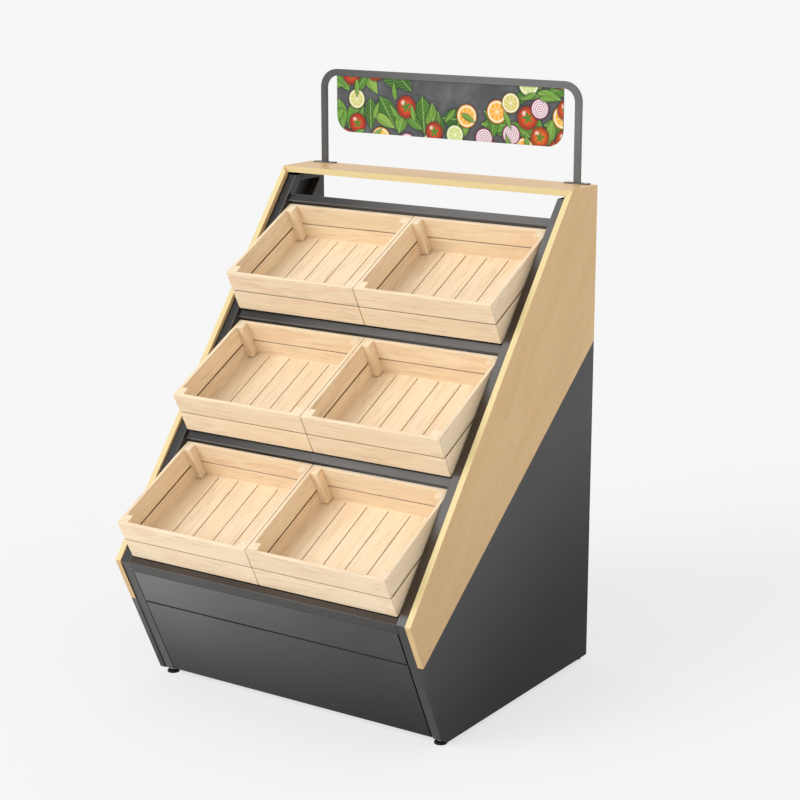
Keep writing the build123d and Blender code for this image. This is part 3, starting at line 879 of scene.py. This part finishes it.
def pan_head_screw():
    """A domed screw head with a cross recess."""
    tree = Grower("pan_head_screw", Radius=screw_radius, Height=screw_height)
    _, radius, height, _ = tree.start
    ball = tree.shape("GeometryNodeMeshUVSphere", Segments=28, Rings=14, Radius=1.0)
    dome = tree.moved(ball, scale=tree.triple(radius, radius, height))
    cut = tree.add("GeometryNodeMeshBoolean", {"operation": "DIFFERENCE", "solver": "EXACT"}, Mesh_1=dome)
    wide = tree.times(radius, 3.0)
    below = tree.shape("GeometryNodeMeshCube", Size=tree.triple(wide, wide, tree.times(height, 2.0)))
    tree.set(cut.inputs["Mesh 2"], tree.moved(below, tree.triple(z=tree.times(height, -1.0))))
    long, narrow = tree.times(radius, 1.15), tree.times(radius, 0.3)
    for size in ((long, narrow, height), (narrow, long, height)):
        bar = tree.shape("GeometryNodeMeshCube", Size=tree.triple(*size))
        tree.set(cut.inputs["Mesh 2"], tree.moved(bar, tree.triple(z=height)))
    tree.close(cut.outputs[0], zinc)
    return tree


def brad():
    """The small flat head of a brad, which stands a hair above its board."""
    tree = Grower("brad", Radius=brad_radius, Height=brad_height)
    _, radius, height, _ = tree.start
    head = tree.shape("GeometryNodeMeshCone", Vertices=14, Radius_Top=tree.times(radius, 0.7),
                      Radius_Bottom=radius, Depth=height)
    aim = tree.add("GeometryNodeInputNamedAttribute", {"data_type": "FLOAT_VECTOR"}, Name="aim").outputs[0]
    turn = tree.add("FunctionNodeAlignRotationToVector", {"axis": "Z"}, Vector=aim).outputs[0]
    tree.close(head, zinc, turn)
    return tree


def threaded_stud(foot, tip):
    """A stud with a rolled thread and a hexagon near its foot."""
    tree = Grower("threaded_stud", Radius=stud_radius, Length=tip - foot, Pitch=stud_pitch,
                  Flats=stud_flats, Hex_foot=stud_hex_foot - foot, Hex_height=stud_hex_height)
    _, radius, full, pitch, flats, hex_foot, hex_height, _ = tree.start
    crest = tree.times(pitch, 0.36)
    root = tree.minus(radius, crest)
    core = tree.shape("GeometryNodeMeshCylinder", Vertices=32, Radius=root, Depth=full)
    wound = tree.minus(full, pitch)
    turns = tree.calc("DIVIDE", wound, pitch)
    spiral = tree.shape("GeometryNodeCurveSpiral", Resolution=28, Rotations=turns, Start_Radius=root,
                        End_Radius=root, Height=wound)
    ridge = tree.shape("GeometryNodeCurvePrimitiveCircle", Resolution=4, Radius=crest)
    thread = tree.shape("GeometryNodeCurveToMesh", Curve=spiral, Profile_Curve=ridge, Fill_Caps=True)
    corner = tree.calc("DIVIDE", flats, math.sqrt(3))
    nut = tree.shape("GeometryNodeMeshCylinder", Vertices=6, Radius=corner, Depth=hex_height)
    whole = tree.add("GeometryNodeJoinGeometry")
    seat = tree.calc("MULTIPLY_ADD", hex_height, 0.5, hex_foot)
    for shape, rise in ((core, tree.times(full, 0.5)), (thread, tree.times(pitch, 0.5)), (nut, seat)):
        tree.set(whole.inputs[0], tree.moved(shape, tree.triple(z=rise)))
    tree.close(whole.outputs[0], zinc)
    return tree


def middle_of(verts):
    """Middle of some vertices as seen from above."""
    return [sum(ends_along(verts, Vector(way))) / 2 for way in ((1, 0, 0), (0, 1, 0))]


def brad_places(mesh, node):
    """Two brads near each end of every wall board of a crate, on its outer face."""
    axes = board_axes(node)
    places, aims = [], []
    for board in islands(mesh):
        spans = [ends_along(board, axis) for axis in axes]
        along, thick = (0, 1) if extent(board, axes[0]) > extent(board, axes[1]) else (1, 0)
        outward = 1.0 if sum(spans[thick]) > sum(ends_along(mesh.verts, axes[thick])) else -1.0
        face = spans[thick][1] if outward > 0 else spans[thick][0]
        low, high = spans[2]
        for end in (spans[along][0] + brad_inset, spans[along][1] - brad_inset):
            for rise in (-brad_spread, brad_spread):
                height = (low + high) / 2 + rise * (high - low)
                places.append(axes[along] * end + axes[thick] * face + axes[2] * height)
                aims.append(axes[thick] * outward)
    return places, aims


def grown_screws(node):
    """Heads with a recess in the place of the plain screw heads."""
    mesh = welded(node)
    heads = []
    for head in islands(mesh):
        _, top = ends_along(head, Vector((0, 0, 1)))
        heads.append((*middle_of(head), top - screw_height))
    mesh.free()
    name = f"{node}_finish"
    placed(name, pan_head_screw().grow(name, heads), body_of_node[node], "zinc_steel", node)


def grown_stud(node):
    """A threaded stud in the place of a plain one."""
    mesh = welded(node)
    foot, tip = ends_along(mesh.verts, Vector((0, 0, 1)))
    middle = (*middle_of(mesh.verts), foot)
    mesh.free()
    name = f"{node}_finish"
    placed(name, threaded_stud(foot, tip).grow(name, [middle]), body_of_node[node], "zinc_steel", node)


def grown_brads(node, tree):
    """Brads that ride on a crate beside its walls."""
    mesh = welded(node)
    name = node.replace("_walls", "_brads")
    placed(name, tree.grow(name, *brad_places(mesh, node)), body_of_node[node], "zinc_steel")
    mesh.free()


grown_screws("header_screws")
wall_brad = brad()
for node in sorted(nodes):
    if node.endswith("_walls"):
        grown_brads(node, wall_brad)
    if node.startswith("foot_stud"):
        grown_stud(node)


# Studio
def linked(name, data):
    """A new object in the scene."""
    thing = bpy.data.objects.new(name, data)
    bpy.context.scene.collection.objects.link(thing)
    return thing


def pale_floor(tone, backdrop, clear, radius):
    """Wide pale floor that takes the stand's shadow, thinned to stay as faint as under wide lamps."""
    floor = Finish("pale_floor", Roughness=0.9, Specular_IOR_Level=0.0)
    cloud = floor.noise(floor.place, scale=0.4)
    floor.feed("Base Color", floor.ramp(cloud, (0.3, tinted(tone, 0.995)), (0.7, tone)))
    glow = floor.add("ShaderNodeEmission", Color=backdrop, Strength=1.0)
    share = floor.times(floor.seen_directly(), clear)
    floor.end_in_mix(floor.tree.nodes["Material Output"], share, floor.shader.outputs[0], glow.outputs[0])
    mesh = bmesh.new()
    bmesh.ops.create_circle(mesh, cap_ends=True, radius=radius, segments=64)
    data = bpy.data.meshes.new("studio_floor")
    mesh.to_mesh(data)
    mesh.free()
    data.materials.append(floor.material)
    piece = linked("studio_floor", data)


def studio_world(level, backdrop):
    """Even light from all round, and a plain pale backdrop where it is looked at or mirrored."""
    world = bpy.data.worlds.new("studio")
    bpy.context.scene.world = world
    world.use_nodes = True
    air = Wiring(world.node_tree)
    light = air.tree.nodes["Background"]
    air.set(light.inputs["Color"], (1.0, 1.0, 1.0))
    air.set(light.inputs["Strength"], level)
    seen = air.add("ShaderNodeBackground", Color=backdrop, Strength=1.0)
    air.end_in_mix(air.tree.nodes["World Output"], air.seen_directly(), light.outputs[0], seen.outputs[0])


def soft_sun(name, towards, strength, spread):
    """A wide soft lamp far away, given by the direction from the stand to it and its spread in degrees."""
    data = bpy.data.lights.new(name, "SUN")
    data.energy = strength
    data.angle = math.radians(spread)
    lamp = linked(name, data)
    lamp.rotation_euler = Vector(towards).to_track_quat("Z", "Y").to_euler()


def photo_camera(place, down, turn, lens):
    """Camera at the photo's place, right of the front and above; angles in degrees, lens in millimetres."""
    data = bpy.data.cameras.new("photo_camera")
    data.sensor_width = 36.0
    data.lens = lens
    data.clip_end = 300.0
    camera = linked("photo_camera", data)
    camera.location = place
    camera.rotation_euler = (math.radians(90 - down), 0, math.radians(turn))
    bpy.context.scene.camera = camera


pale_backdrop = (0.935, 0.935, 0.935)
pale_floor(tone=(0.90, 0.90, 0.90), backdrop=pale_backdrop, clear=0.72, radius=90.0)
studio_world(level=0.69, backdrop=pale_backdrop)
soft_sun("key", towards=(-0.42, -0.78, 0.52), strength=1.74, spread=38)
soft_sun("fill", towards=(0.86, -0.30, 0.42), strength=0.32, spread=80)
photo_camera(place=(3.1205, -4.4416, 2.1852), down=13.98, turn=33.67, lens=88.96)
bpy.context.scene.view_settings.view_transform = "Standard"
